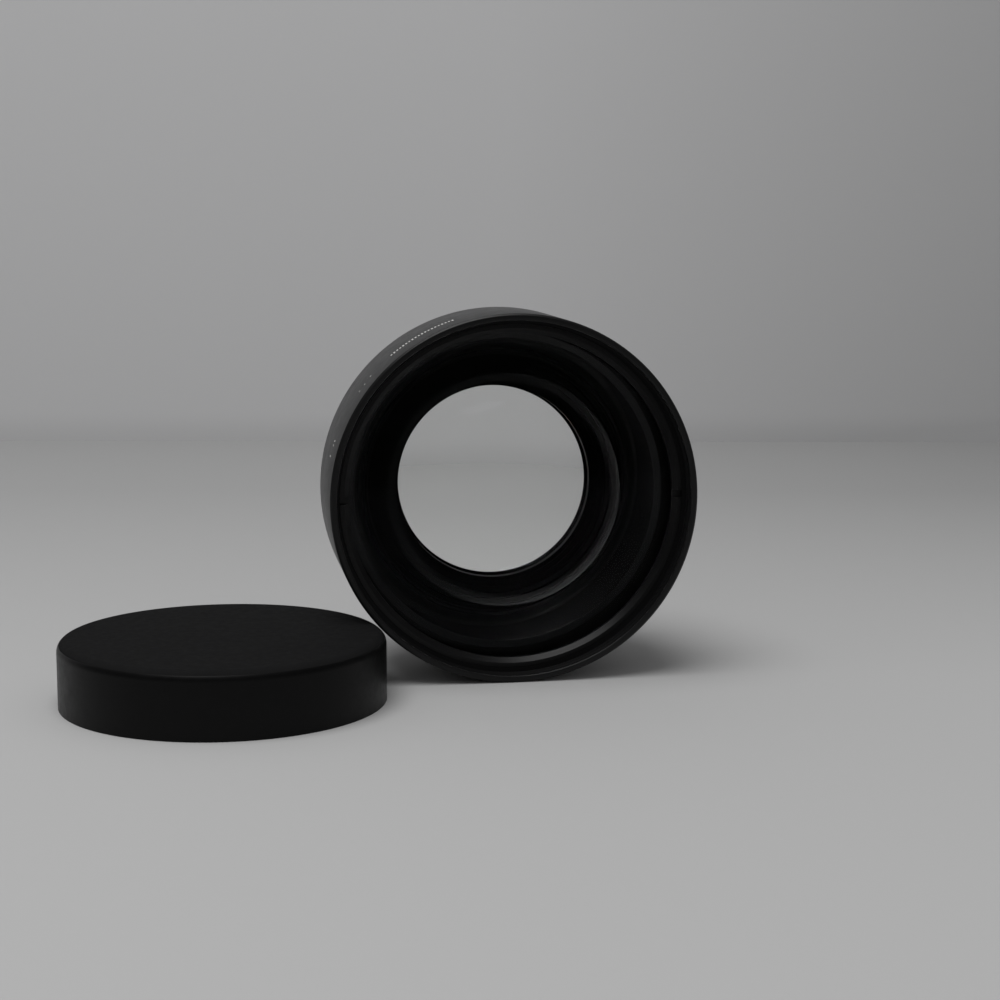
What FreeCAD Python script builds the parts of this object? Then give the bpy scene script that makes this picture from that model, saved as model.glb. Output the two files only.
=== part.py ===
"""Wide angle converter lens with its rear cap, as a parametric document, in millimetres.

The optical axis runs along Y. Depths are measured from the plane of the front rim, into the
barrel, and the whole converter is then shifted so that the origin is the centre of the rear
mounting face. The converter lies on its barrel, so the table is one barrel radius below the
axis. The cap lies beside it, open side down.
"""
import FreeCAD, Part

import math
import os

import Sketcher

SIZES = {
    # front lens, which the front barrel is built round
    "front_radius": 36.9,
    "front_vertex": 3.2,
    "front_thickness": 3.0,
    "front_outer_curve": 190.0,
    "front_inner_curve": 49.4,
    "front_land": 4.0,
    # ring that holds the front lens
    "front_ring_overhang": 0.7,
    "front_ring_overlap": 1.3,
    "front_ring_thickness": 2.0,
    "front_ring_bevel": 1.0,
    "front_ring_runout": 0.5,
    # mouth, with its thread for filters as a plain bore at its crests
    "filter_step": 0.5,
    "filter_relief": 0.6,
    "mouth_chamfer": 0.6,
    # front barrel
    "barrel_wall": 1.9,
    "rim_chamfer": 0.4,
    "heel_chamfer": 0.6,
    "collar_step": 1.8,
    "collar_length": 2.6,
    # seat of the front lens
    "seal_thickness": 0.4,
    "seal_width": 2.4,
    "seat_overlap": 4.4,
    "seat_chamfer": 0.5,
    "seat_web": 3.0,
    # socket and spigot that join the two barrels
    "socket_step": 1.5,
    "socket_length": 8.45,
    "spigot_wall": 1.4,
    # baffle tube, stepped inside
    "baffle_inset": 0.7,
    "baffle_lip": 0.3,
    "baffle_throat_step": 0.6,
    "baffle_flange": 2.0,
    "baffle_wall": 1.0,
    "baffle_steps": 6,
    "baffle_undercut": 0.35,
    # aperture stop
    "stop_behind": 0.4,
    "stop_inset": 1.4,
    "stop_width": 3.6,
    "stop_thickness": 0.6,
    # rear lenses, cemented together, which the rear barrel is built round
    "rear_radius": 27.6,
    "crown_front_curve": 84.6,
    "crown_edge": 0.75,
    "cement_curve": 120.0,
    "flint_thickness": 1.8,
    "rear_seat_overlap": 0.9,
    "rear_seat_web": 2.5,
    # shim and ring that hold the rear lenses
    "shim_thickness": 0.3,
    "rear_ring_overhang": 0.7,
    "rear_ring_overlap": 1.45,
    "rear_ring_thickness": 1.5,
    "rear_ring_bevel": 0.9,
    # rear barrel
    "shoulder_step": 1.8,
    "taper_length": 5.0,
    "boss_wall": 2.3,
    # mount ring, its thread as a plain cylinder at its crests
    "mount_wall": 2.1,
    "mount_web": 0.77,
    "mount_flange": 4.6,
    "mount_step": 1.75,
    "mount_thread_wall": 1.55,
    "mount_thread_length": 5.5,
    "mount_end_chamfer": 0.4,
    # set screws
    "screw_radius": 1.0,
    "screw_tip_radius": 0.55,
    "screw_bite": 0.6,
    "screw_sunk": 0.15,
    "hex_width": 0.9,
    "hex_depth": 0.9,
    # notches for the ring spanner
    "notch_width": 1.6,
    "notch_depth": 1.0,
    # rear cap, and where it lies on the table
    "cap_play": 0.2,
    "cap_wall": 1.2,
    "cap_height": 13.9,
    "cap_top": 1.4,
    "cap_edge": 2.2,
    "cap_corner": 0.6,
    "cap_lip_chamfer": 0.5,
    "cap_beside": 0.15,
    "cap_ahead": 4.8,
    # clearances
    "thread_gap": 0.05,
    "slide_gap": 0.1,
    "touch_gap": 0.02,
}
SHEET = "Sizes"
SCREW_ANGLES = (0.0, 120.0, 240.0)
NOTCHES = 2


class Size:
    """A length known twice: as a number, and as the text of the expression that drives it."""

    def __init__(self, text, value):
        self.text = text
        self.value = value

    def _join(self, sign, other, value):
        other_text = other.text if isinstance(other, Size) else repr(float(other))
        return Size(f"({self.text} {sign} {other_text})", value)

    def __add__(self, other):
        return self._join("+", other, self.value + number(other))

    def __sub__(self, other):
        return self._join("-", other, self.value - number(other))

    def __mul__(self, other):
        return self._join("*", other, self.value * number(other))

    def __truediv__(self, other):
        return self._join("/", other, self.value / number(other))

    def __neg__(self):
        return Size(f"(0 - {self.text})", -self.value)


class Sizes:
    """The sheet's cells, each as a Size under its own name."""

    def __init__(self, values):
        for alias, value in values.items():
            setattr(self, alias, Size(f"{SHEET}.{alias}", value))


def number(length):
    return length.value if isinstance(length, Size) else float(length)


def leg(hypotenuse, other):
    """The third side of a right triangle."""
    text = f"sqrt({hypotenuse.text}^2 - {other.text}^2)"
    return Size(text, math.sqrt(hypotenuse.value**2 - other.value**2))


def sag(curve, radius):
    """How far a sphere has fallen away from its pole at this radius."""
    return curve - leg(curve, radius)


def make_sheet(doc, values):
    sheet = doc.addObject("Spreadsheet::Sheet", SHEET)
    for row, (alias, value) in enumerate(values.items(), start=1):
        sheet.set(f"A{row}", alias)
        sheet.set(f"B{row}", str(value))
        sheet.setAlias(f"B{row}", alias)
    doc.recompute()
    return sheet


def make_body(doc, name, depth=0):
    """A body whose own zero lies at this depth behind the front rim."""
    body = doc.addObject("PartDesign::Body", name)
    body.Label = name
    along = depth - MOUNT_FACE if isinstance(depth, Size) else -MOUNT_FACE
    body.setExpression("Placement.Base.y", along.text)
    return body


def origin_part(body, role):
    """One of the body's own planes or axes."""
    return next(f for f in body.Origin.OriginFeatures if f.Role == role)


def attach(body, sketch, role, lift=None):
    sketch.AttachmentSupport = [(origin_part(body, role), "")]
    sketch.MapMode = "FlatFace"
    if lift is not None:
        sketch.AttachmentOffset = FreeCAD.Placement(FreeCAD.Vector(0, 0, lift.value), FreeCAD.Rotation())
        sketch.setExpression("AttachmentOffset.Base.z", lift.text)


def hold(sketch, geometry, point, along, up):
    """Fix one point of the drawing by its two distances from the sketch's zero."""
    for kind, axis, length in (("DistanceX", -2, along), ("DistanceY", -1, up)):
        if number(length) == 0 and not isinstance(length, Size):
            sketch.addConstraint(Sketcher.Constraint("PointOnObject", geometry, point, axis))
        else:
            index = sketch.addConstraint(Sketcher.Constraint(kind, -1, 1, geometry, point, number(length)))
            if isinstance(length, Size):
                sketch.setExpression(f"Constraints[{index}]", length.text)


def arc_between(start, end, radius, side):
    """The short arc from start to end; side is 1 for a centre on the left, -1 on the right."""
    chord = end - start
    across = FreeCAD.Vector(-chord.y, chord.x, 0).normalize() * side
    centre = (start + end) * 0.5 + across * math.sqrt(radius**2 - (chord.Length / 2) ** 2)
    first, last = (start, end) if side > 0 else (end, start)
    angles = [math.atan2(place.y - centre.y, place.x - centre.x) for place in (first, last)]
    return Part.ArcOfCircle(Part.Circle(centre, FreeCAD.Vector(0, 0, 1), radius), *angles)


def draw(body, name, role, corners, curves=None, lift=None):
    """A closed outline through the corners. curves gives, by the corner that a curved side
    leaves, its radius and which side its centre is on."""
    curves = curves or {}
    sketch = body.newObject("Sketcher::SketchObject", name)
    attach(body, sketch, role, lift)
    places = [FreeCAD.Vector(number(along), number(up), 0) for along, up in corners]
    ends = []
    for index, place in enumerate(places):
        following = places[(index + 1) % len(places)]
        if index in curves:
            curve, side = curves[index]
            sketch.addGeometry(arc_between(place, following, curve.value, side))
            ends.append((1, 2) if side > 0 else (2, 1))
        else:
            sketch.addGeometry(Part.LineSegment(place, following))
            ends.append((1, 2))
    for index, (along, up) in enumerate(corners):
        before = index - 1 if index else len(corners) - 1
        sketch.addConstraint(Sketcher.Constraint("Coincident", before, ends[before][1], index, ends[index][0]))
        hold(sketch, index, ends[index][0], along, up)
    for index, (curve, side) in curves.items():
        held = sketch.addConstraint(Sketcher.Constraint("Radius", index, curve.value))
        sketch.setExpression(f"Constraints[{held}]", curve.text)
    return sketch


def turn(doc, body, sketch, axis="H_Axis"):
    """Revolve the outline once round one axis of its sketch."""
    feature = body.newObject("PartDesign::Revolution", f"{body.Name}_turned")
    feature.Profile = sketch
    feature.ReferenceAxis = (sketch, [axis])
    feature.Angle = 360
    doc.recompute()
    return feature


def cut(doc, body, sketch, length, outward=False):
    """Pocket the outline: away from the sketch's normal, or along it where outward is set."""
    before = body.Shape.Volume
    pocket = body.newObject("PartDesign::Pocket", f"{sketch.Name}_cut")
    pocket.Profile = sketch
    pocket.Length = number(length)
    pocket.setExpression("Length", length.text)
    pocket.Reversed = outward
    doc.recompute()
    if not body.Shape.Volume < before:
        raise RuntimeError(f"{sketch.Name} cuts nothing")
    return pocket


def repeat(doc, body, feature, copies):
    """Copy a cut round the optical axis."""
    pattern = body.newObject("PartDesign::PolarPattern", f"{feature.Name}_repeated")
    pattern.Originals = [feature]
    pattern.Axis = (origin_part(body, "Y_Axis"), [""])
    pattern.Angle = 360
    pattern.Occurrences = copies
    body.Tip = pattern
    doc.recompute()


def drill(doc, body, name, depth, floor, reach):
    """Radial holes for the set screws, from the radius floor outwards."""
    sketch = body.newObject("Sketcher::SketchObject", f"{name}_hole")
    attach(body, sketch, "XY_Plane", floor)
    radius = S.screw_radius + S.thread_gap
    centre = FreeCAD.Vector(0, depth.value, 0)
    sketch.addGeometry(Part.Circle(centre, FreeCAD.Vector(0, 0, 1), radius.value))
    hold(sketch, 0, 3, 0, depth)
    held = sketch.addConstraint(Sketcher.Constraint("Radius", 0, radius.value))
    sketch.setExpression(f"Constraints[{held}]", radius.text)
    pocket = cut(doc, body, sketch, reach, outward=True)
    repeat(doc, body, pocket, len(SCREW_ANGLES))


def notch(doc, body, face, inner, outer, from_behind):
    """Notches for the ring spanner, level with the axis, across a ring's flat face."""
    half = S.notch_width / 2
    corners = [(inner, -half), (outer, -half), (outer, half), (inner, half)]
    sketch = draw(body, f"{body.Name}_notch", "XZ_Plane", corners, lift=-face)
    pocket = cut(doc, body, sketch, S.notch_depth, outward=from_behind)
    repeat(doc, body, pocket, NOTCHES)


def glass_blank(doc, name, radius, start, end):
    """Plain disc of glass round the optical axis, before its curves are ground."""
    disc = doc.addObject("Part::Cylinder", name)
    disc.Placement = FreeCAD.Placement(FreeCAD.Vector(), FreeCAD.Rotation(FreeCAD.Vector(1, 0, 0), -90))
    disc.setExpression("Radius", radius.text)
    disc.setExpression("Height", (end - start).text)
    disc.setExpression("Placement.Base.y", start.text)
    return disc


def glass_ball(doc, name, radius, centre):
    """The sphere that one face of a lens is part of."""
    ball = doc.addObject("Part::Sphere", name)
    ball.setExpression("Radius", radius.text)
    ball.setExpression("Placement.Base.y", centre.text)
    return ball


def seat_glass(doc, lens):
    """Shift a finished lens with the rest of the converter."""
    lens.setExpression("Placement.Base.y", (-MOUNT_FACE).text)
    doc.recompute()
    return lens


S = Sizes(SIZES)

# radii, from the front lens outwards
FRONT_HOLLOW = S.front_radius - S.front_land
FRONT_BORE = S.front_radius + S.slide_gap
FRONT_RING_BORE = S.front_radius - S.front_ring_overlap
FRONT_RING_RADIUS = S.front_radius + S.front_ring_overhang
FILTER_RADIUS = FRONT_RING_RADIUS + S.filter_step
BARREL_RADIUS = FILTER_RADIUS + S.barrel_wall
COLLAR_RADIUS = BARREL_RADIUS - S.collar_step
SHOULDER_RADIUS = COLLAR_RADIUS - S.shoulder_step
SEAT_BORE = S.front_radius - S.seat_overlap
SOCKET_RADIUS = SEAT_BORE + S.socket_step
SPIGOT_RADIUS = SOCKET_RADIUS - S.thread_gap
SPIGOT_BORE = SOCKET_RADIUS - S.spigot_wall

# radii, from the rear lenses outwards
REAR_BORE = S.rear_radius + S.slide_gap
REAR_SEAT_BORE = S.rear_radius - S.rear_seat_overlap
REAR_RING_BORE = S.rear_radius - S.rear_ring_overlap
REAR_RING_RADIUS = S.rear_radius + S.rear_ring_overhang
STOP_BORE = S.rear_radius - S.stop_inset
STOP_RIM = STOP_BORE + S.stop_width
BOSS_RADIUS = REAR_RING_RADIUS + S.boss_wall
TAIL_RADIUS = BOSS_RADIUS + S.mount_wall
MOUNT_THREAD_RADIUS = TAIL_RADIUS - S.mount_step
CAP_BORE = TAIL_RADIUS + S.cap_play
CAP_RADIUS = CAP_BORE + S.cap_wall

# depths, from the front rim back
FILTER_END = S.front_vertex - S.slide_gap
FRONT_RING_BACK = S.front_vertex + sag(S.front_outer_curve, FRONT_RING_BORE) - S.touch_gap
FRONT_RING_FACE = FRONT_RING_BACK - S.front_ring_thickness
FRONT_BACK = S.front_vertex + S.front_thickness + sag(S.front_inner_curve, FRONT_HOLLOW)
SEAT = FRONT_BACK + S.seal_thickness
SEAT_BACK = SEAT + S.seat_web
SPIGOT_START = SEAT_BACK + S.baffle_flange
BARREL_END = SEAT_BACK + S.socket_length
BARREL_HEEL = BARREL_END - S.collar_length
BARREL_SCREW = BARREL_HEEL + S.collar_length / 2
STOP_FACE = BARREL_END + S.stop_behind
STOP_BACK = STOP_FACE + S.stop_thickness
TAPER_END = BARREL_END + S.taper_length
REAR_SEAT = STOP_BACK + S.rear_seat_web
REAR_VERTEX = REAR_SEAT + S.touch_gap - sag(S.crown_front_curve, REAR_SEAT_BORE)
CROWN_EDGE_END = REAR_VERTEX + sag(S.crown_front_curve, S.rear_radius) + S.crown_edge
CEMENT = CROWN_EDGE_END + sag(S.cement_curve, S.rear_radius)
FLINT_VERTEX = CEMENT + S.touch_gap
FLINT_BACK = FLINT_VERTEX + S.flint_thickness
SHIM_FACE = FLINT_BACK + S.touch_gap
REAR_RING_FACE = SHIM_FACE + S.shim_thickness
REAR_RING_BACK = REAR_RING_FACE + S.rear_ring_thickness
CELL_END = REAR_RING_BACK + S.slide_gap
MOUNT_INNER_FACE = CELL_END + S.slide_gap
MOUNT_FACE = MOUNT_INNER_FACE + S.mount_web
MOUNT_START = MOUNT_FACE - S.mount_flange
MOUNT_END = MOUNT_FACE + S.mount_thread_length
MOUNT_SCREW = MOUNT_START + (CELL_END - MOUNT_START) / 2

# the cap lies just clear of the barrel, whose curve is nearest halfway round the cap's top edge
CAP_EDGE_INSET = S.cap_edge * (1 - math.sqrt(0.5))
BARREL_HALF_WIDTH = leg(BARREL_RADIUS, BARREL_RADIUS - S.cap_height + CAP_EDGE_INSET)
CAP_SIDE = BARREL_HALF_WIDTH + leg(CAP_RADIUS - CAP_EDGE_INSET, S.cap_ahead) + S.cap_beside


def front_barrel(doc):
    """The large barrel: rim, filter thread, seat of the front lens and socket for the rear barrel."""
    body = make_body(doc, "front_barrel")
    ring_end = FRONT_RING_BACK + S.front_ring_runout
    groove_end = FRONT_RING_FACE - S.touch_gap
    corners = [
        (0, FILTER_RADIUS + S.mouth_chamfer),
        (0, BARREL_RADIUS - S.rim_chamfer),
        (S.rim_chamfer, BARREL_RADIUS),
        (BARREL_HEEL - S.heel_chamfer, BARREL_RADIUS),
        (BARREL_HEEL, BARREL_RADIUS - S.heel_chamfer),
        (BARREL_HEEL, COLLAR_RADIUS),
        (BARREL_END, COLLAR_RADIUS),
        (BARREL_END, SOCKET_RADIUS),
        (SEAT_BACK, SOCKET_RADIUS),
        (SEAT_BACK, SEAT_BORE),
        (SEAT + S.seat_chamfer, SEAT_BORE),
        (SEAT, SEAT_BORE + S.seat_chamfer),
        (SEAT, FRONT_BORE),
        (ring_end, FRONT_BORE),
        (ring_end, FRONT_RING_RADIUS),
        (groove_end, FRONT_RING_RADIUS),
        (groove_end, FILTER_RADIUS + S.filter_relief),
        (FILTER_END, FILTER_RADIUS + S.filter_relief),
        (FILTER_END, FILTER_RADIUS),
        (S.mouth_chamfer, FILTER_RADIUS),
    ]
    turn(doc, body, draw(body, "front_barrel_section", "YZ_Plane", corners))
    drill(doc, body, "barrel", BARREL_SCREW, SOCKET_RADIUS - S.screw_bite, BARREL_RADIUS)
    return body


def front_retaining_ring(doc):
    """Threaded ring that clamps the front lens, with a bevelled bore and spanner notches."""
    body = make_body(doc, "front_retaining_ring")
    outer = FRONT_RING_RADIUS - S.thread_gap
    corners = [
        (FRONT_RING_FACE, FRONT_RING_BORE + S.front_ring_bevel),
        (FRONT_RING_FACE, outer),
        (FRONT_RING_BACK, outer),
        (FRONT_RING_BACK, FRONT_RING_BORE),
        (FRONT_RING_FACE + S.front_ring_bevel, FRONT_RING_BORE),
    ]
    turn(doc, body, draw(body, "front_ring_section", "YZ_Plane", corners))
    notch(doc, body, FRONT_RING_FACE, FRONT_RING_BORE - S.slide_gap, outer + S.slide_gap, from_behind=False)
    return body


def front_lens(doc):
    """Deep negative meniscus, flat and ground round the hollow of its back."""
    hollow_pole = S.front_vertex + S.front_thickness
    disc = glass_blank(doc, "front_lens_blank", S.front_radius, S.front_vertex, FRONT_BACK)
    outer = glass_ball(doc, "front_lens_outer", S.front_outer_curve, S.front_vertex + S.front_outer_curve)
    hollow = glass_ball(doc, "front_lens_hollow", S.front_inner_curve, hollow_pole + S.front_inner_curve)
    convex = doc.addObject("Part::MultiCommon", "front_lens_convex")
    convex.Shapes = [disc, outer]
    lens = doc.addObject("Part::Cut", "front_lens")
    lens.Base = convex
    lens.Tool = hollow
    return seat_glass(doc, lens)


def flat_ring(doc, name, face, back, inner, outer):
    body = make_body(doc, name)
    corners = [(face, inner), (back, inner), (back, outer), (face, outer)]
    turn(doc, body, draw(body, f"{name}_section", "YZ_Plane", corners))
    return body


def front_lens_seal(doc):
    """Thin ring of rubber between the front lens and its seat."""
    inner = S.front_radius - S.seal_width
    return flat_ring(doc, "front_lens_seal", FRONT_BACK, SEAT, inner, S.front_radius)


def baffle_tube(doc):
    """Blackened tube clamped behind the seat, stepped inside so that it throws no light forward."""
    body = make_body(doc, "baffle_tube")
    steps = int(S.baffle_steps.value)
    pitch = (STOP_FACE - SEAT_BACK) / steps
    mouth = SEAT_BORE - S.baffle_inset
    throat = STOP_BORE + S.baffle_throat_step
    drop = (mouth - throat) / (steps - 1)
    flange = SOCKET_RADIUS - S.slide_gap
    end_radius = throat + S.baffle_undercut + S.baffle_wall
    corners = [
        (SEAT_BACK, flange),
        (SEAT_BACK, mouth + S.baffle_lip),
        (SEAT_BACK + S.baffle_lip, mouth),
    ]
    for step in range(steps):
        radius = mouth - drop * step
        back = SEAT_BACK + pitch * (step + 1)
        corners.append((back, radius + S.baffle_undercut))
        if step < steps - 1:
            corners.append((back, radius - drop))
    corners += [
        (STOP_FACE, end_radius),
        (SPIGOT_START, SPIGOT_BORE - S.slide_gap),
        (SPIGOT_START, flange),
    ]
    turn(doc, body, draw(body, "baffle_section", "YZ_Plane", corners))
    return body


def aperture_stop(doc):
    """Thin ring that limits the beam, in the rear barrel's pocket behind the baffle tube."""
    return flat_ring(doc, "aperture_stop", STOP_FACE, STOP_BACK, STOP_BORE, STOP_RIM)


def rear_barrel(doc):
    """Tapered barrel: spigot, pocket of the stop, cell of the rear lenses and boss of the mount."""
    body = make_body(doc, "rear_barrel")
    pocket = STOP_RIM + S.slide_gap
    corners = [
        (SPIGOT_START, SPIGOT_BORE),
        (SPIGOT_START, SPIGOT_RADIUS),
        (BARREL_END, SPIGOT_RADIUS),
        (BARREL_END, SHOULDER_RADIUS),
        (TAPER_END, TAIL_RADIUS),
        (MOUNT_START, TAIL_RADIUS),
        (MOUNT_START, BOSS_RADIUS),
        (CELL_END, BOSS_RADIUS),
        (CELL_END, REAR_RING_RADIUS),
        (SHIM_FACE, REAR_RING_RADIUS),
        (SHIM_FACE, REAR_BORE),
        (REAR_SEAT, REAR_BORE),
        (REAR_SEAT, REAR_SEAT_BORE),
        (STOP_BACK, REAR_SEAT_BORE),
        (STOP_BACK, pocket),
        (STOP_FACE, pocket),
        (STOP_FACE, SPIGOT_BORE),
    ]
    turn(doc, body, draw(body, "rear_barrel_section", "YZ_Plane", corners))
    drill(doc, body, "spigot", BARREL_SCREW, SPIGOT_RADIUS - S.screw_bite, S.screw_bite + S.slide_gap)
    drill(doc, body, "boss", MOUNT_SCREW, BOSS_RADIUS - S.screw_bite, S.screw_bite + S.slide_gap)
    return body


def rear_crown_lens(doc):
    """Biconvex front half of the cemented pair."""
    disc = glass_blank(doc, "rear_crown_blank", S.rear_radius, REAR_VERTEX, CEMENT)
    front = glass_ball(doc, "rear_crown_front", S.crown_front_curve, REAR_VERTEX + S.crown_front_curve)
    back = glass_ball(doc, "rear_crown_back", S.cement_curve, CEMENT - S.cement_curve)
    lens = doc.addObject("Part::MultiCommon", "rear_crown_lens")
    lens.Shapes = [disc, front, back]
    return seat_glass(doc, lens)


def rear_flint_lens(doc):
    """Back half of the cemented pair, hollow in front and flat behind."""
    lens = doc.addObject("Part::Cut", "rear_flint_lens")
    lens.Base = glass_blank(doc, "rear_flint_blank", S.rear_radius, REAR_VERTEX, FLINT_BACK)
    lens.Tool = glass_ball(doc, "rear_flint_hollow", S.cement_curve, FLINT_VERTEX - S.cement_curve)
    return seat_glass(doc, lens)


def rear_lens_shim(doc):
    """Thin washer that spreads the ring's push over the glass."""
    return flat_ring(doc, "rear_lens_shim", SHIM_FACE, REAR_RING_FACE, REAR_RING_BORE, S.rear_radius)


def rear_retaining_ring(doc):
    """Threaded ring that clamps the rear lenses from behind."""
    body = make_body(doc, "rear_retaining_ring")
    outer = REAR_RING_RADIUS - S.thread_gap
    corners = [
        (REAR_RING_FACE, REAR_RING_BORE),
        (REAR_RING_BACK - S.rear_ring_bevel, REAR_RING_BORE),
        (REAR_RING_BACK, REAR_RING_BORE + S.rear_ring_bevel),
        (REAR_RING_BACK, outer),
        (REAR_RING_FACE, outer),
    ]
    turn(doc, body, draw(body, "rear_ring_section", "YZ_Plane", corners))
    notch(doc, body, REAR_RING_BACK, REAR_RING_BORE - S.slide_gap, outer + S.slide_gap, from_behind=True)
    return body


def mount_ring(doc):
    """Ring on the rear barrel's boss, with the thread that screws into the camera's lens."""
    body = make_body(doc, "mount_ring")
    counterbore = BOSS_RADIUS + S.slide_gap
    bore = MOUNT_THREAD_RADIUS - S.mount_thread_wall
    corners = [
        (MOUNT_START, counterbore),
        (MOUNT_START, TAIL_RADIUS),
        (MOUNT_FACE, TAIL_RADIUS),
        (MOUNT_FACE, MOUNT_THREAD_RADIUS),
        (MOUNT_END - S.mount_end_chamfer, MOUNT_THREAD_RADIUS),
        (MOUNT_END, MOUNT_THREAD_RADIUS - S.mount_end_chamfer),
        (MOUNT_END, bore),
        (MOUNT_INNER_FACE, bore),
        (MOUNT_INNER_FACE, counterbore),
    ]
    turn(doc, body, draw(body, "mount_section", "YZ_Plane", corners))
    drill(doc, body, "mount", MOUNT_SCREW, BOSS_RADIUS, TAIL_RADIUS)
    return body


def set_screw(doc, name, depth, tip, end, angle):
    """Grub screw with a hexagon socket, pointing at the optical axis from outside."""
    body = make_body(doc, name, depth)
    body.Placement.Rotation = FreeCAD.Rotation(FreeCAD.Vector(0, 1, 0), angle)
    point = S.screw_radius - S.screw_tip_radius
    corners = [
        (0, tip),
        (S.screw_tip_radius, tip),
        (S.screw_radius, tip + point),
        (S.screw_radius, end),
        (0, end),
    ]
    turn(doc, body, draw(body, f"{name}_section", "XZ_Plane", corners), axis="V_Axis")
    corner_radius = S.hex_width / math.sqrt(3)
    turns = [math.radians(60 * side) for side in range(6)]
    hexagon = [(corner_radius * math.cos(at), corner_radius * math.sin(at)) for at in turns]
    socket = draw(body, f"{name}_socket", "XY_Plane", hexagon, lift=end)
    cut(doc, body, socket, S.hex_depth)
    return body


def set_screws(doc):
    """Three screws lock the two barrels together, and three lock the mount ring."""
    bodies = []
    for count, angle in enumerate(SCREW_ANGLES, start=1):
        tip = SPIGOT_RADIUS - S.screw_bite + S.touch_gap
        end = COLLAR_RADIUS - S.screw_sunk
        bodies.append(set_screw(doc, f"barrel_screw_{count}", BARREL_SCREW, tip, end, angle))
    for count, angle in enumerate(SCREW_ANGLES, start=1):
        tip = BOSS_RADIUS - S.screw_bite + S.touch_gap
        end = TAIL_RADIUS - S.screw_sunk
        bodies.append(set_screw(doc, f"mount_screw_{count}", MOUNT_SCREW, tip, end, angle))
    return bodies


def rear_cap(doc):
    """Push-on cap of moulded plastic, lying open side down on the table."""
    body = make_body(doc, "rear_cap", -S.cap_ahead)
    body.setExpression("Placement.Base.x", (-CAP_SIDE).text)
    body.setExpression("Placement.Base.z", (-BARREL_RADIUS).text)
    ceiling = S.cap_height - S.cap_top
    corners = [
        (0, ceiling),
        (CAP_BORE - S.cap_corner, ceiling),
        (CAP_BORE, ceiling - S.cap_corner),
        (CAP_BORE, S.cap_lip_chamfer),
        (CAP_BORE + S.cap_lip_chamfer, 0),
        (CAP_RADIUS, 0),
        (CAP_RADIUS, S.cap_height - S.cap_edge),
        (CAP_RADIUS - S.cap_edge, S.cap_height),
        (0, S.cap_height),
    ]
    curves = {6: (S.cap_edge, 1)}
    turn(doc, body, draw(body, "cap_section", "XZ_Plane", corners, curves), axis="V_Axis")
    return body


def check(doc, bodies):
    doc.recompute()
    for thing in doc.Objects:
        if "Invalid" in thing.State or "Error" in thing.State:
            raise RuntimeError(f"{thing.Name} failed: {thing.State}")
    for body in bodies:
        if body.Shape.isNull() or not body.Shape.isValid() or len(body.Shape.Solids) != 1:
            raise RuntimeError(f"{body.Label} is not one sound solid")


def main():
    os.makedirs("parts", exist_ok=True)
    doc = FreeCAD.newDocument("converter")
    make_sheet(doc, SIZES)
    makers = [
        front_barrel,
        front_retaining_ring,
        front_lens,
        front_lens_seal,
        baffle_tube,
        aperture_stop,
        rear_barrel,
        rear_crown_lens,
        rear_flint_lens,
        rear_lens_shim,
        rear_retaining_ring,
        mount_ring,
        rear_cap,
    ]
    bodies = [maker(doc) for maker in makers] + set_screws(doc)
    check(doc, bodies)
    for body in bodies:
        body.Shape.exportStep(f"parts/{body.Label}.step")
    print(len(bodies), "pieces written")


main()
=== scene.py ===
"""Wide angle converter lens lying on a pale table, with its rear cap beside it.

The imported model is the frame: metres, +Y along the optical axis out of the rear, +Z up. The pieces
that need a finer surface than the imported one, such as glass, threads and the cap, are turned here
round the same axes and stand for their nodes. The rest keep their shape and get their finish.
"""
import math

import bmesh
import bpy
from bpy.props import FloatProperty, FloatVectorProperty, PointerProperty
from mathutils import Euler, Matrix, Vector


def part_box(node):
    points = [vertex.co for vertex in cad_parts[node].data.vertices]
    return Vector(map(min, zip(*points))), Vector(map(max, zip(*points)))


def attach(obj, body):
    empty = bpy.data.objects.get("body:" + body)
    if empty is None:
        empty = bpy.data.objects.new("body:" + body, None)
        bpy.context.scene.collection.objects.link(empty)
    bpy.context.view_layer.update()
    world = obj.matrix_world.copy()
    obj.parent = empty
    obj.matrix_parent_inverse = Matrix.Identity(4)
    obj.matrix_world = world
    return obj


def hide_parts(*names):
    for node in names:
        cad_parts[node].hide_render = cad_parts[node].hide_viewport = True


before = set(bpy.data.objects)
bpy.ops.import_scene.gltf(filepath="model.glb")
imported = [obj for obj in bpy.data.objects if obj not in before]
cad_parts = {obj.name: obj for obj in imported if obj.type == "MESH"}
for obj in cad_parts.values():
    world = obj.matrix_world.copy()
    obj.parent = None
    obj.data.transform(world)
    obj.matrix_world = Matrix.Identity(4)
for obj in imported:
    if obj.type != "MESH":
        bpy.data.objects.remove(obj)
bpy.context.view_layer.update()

bl_info = {
    "name": "Wide Angle Converter",
    "version": (1, 0, 0),
    "blender": (4, 5, 0),
    "location": "View3D > Sidebar > Converter",
    "description": "Dresses the converter lens and its rear cap, and sets the table, lamp and camera",
    "category": "Object",
}

BODY = "root"
MM = 0.001

# planes and radii that the frame gives
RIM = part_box("front_barrel")[0].y
BARREL_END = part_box("front_barrel")[1].y
BARREL_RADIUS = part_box("front_barrel")[1].z
RETAINER_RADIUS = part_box("front_retaining_ring")[1].z + 0.05 * MM
RETAINER_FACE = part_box("front_retaining_ring")[0].y
RETAINER_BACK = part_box("front_retaining_ring")[1].y
GLASS_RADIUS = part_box("front_lens_seal")[1].z
GLASS_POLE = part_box("front_lens")[0].y
GLASS_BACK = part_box("front_lens_seal")[0].y
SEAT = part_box("front_lens_seal")[1].y
TUBE_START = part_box("baffle_tube")[0].y
TUBE_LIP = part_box("front_lens_seal")[1].z - 4.8 * MM
SOCKET_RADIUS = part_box("baffle_tube")[1].z + 0.1 * MM
REAR_GLASS_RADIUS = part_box("rear_lens_shim")[1].z
REAR_GLASS_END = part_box("rear_lens_shim")[0].y - 0.02 * MM
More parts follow.
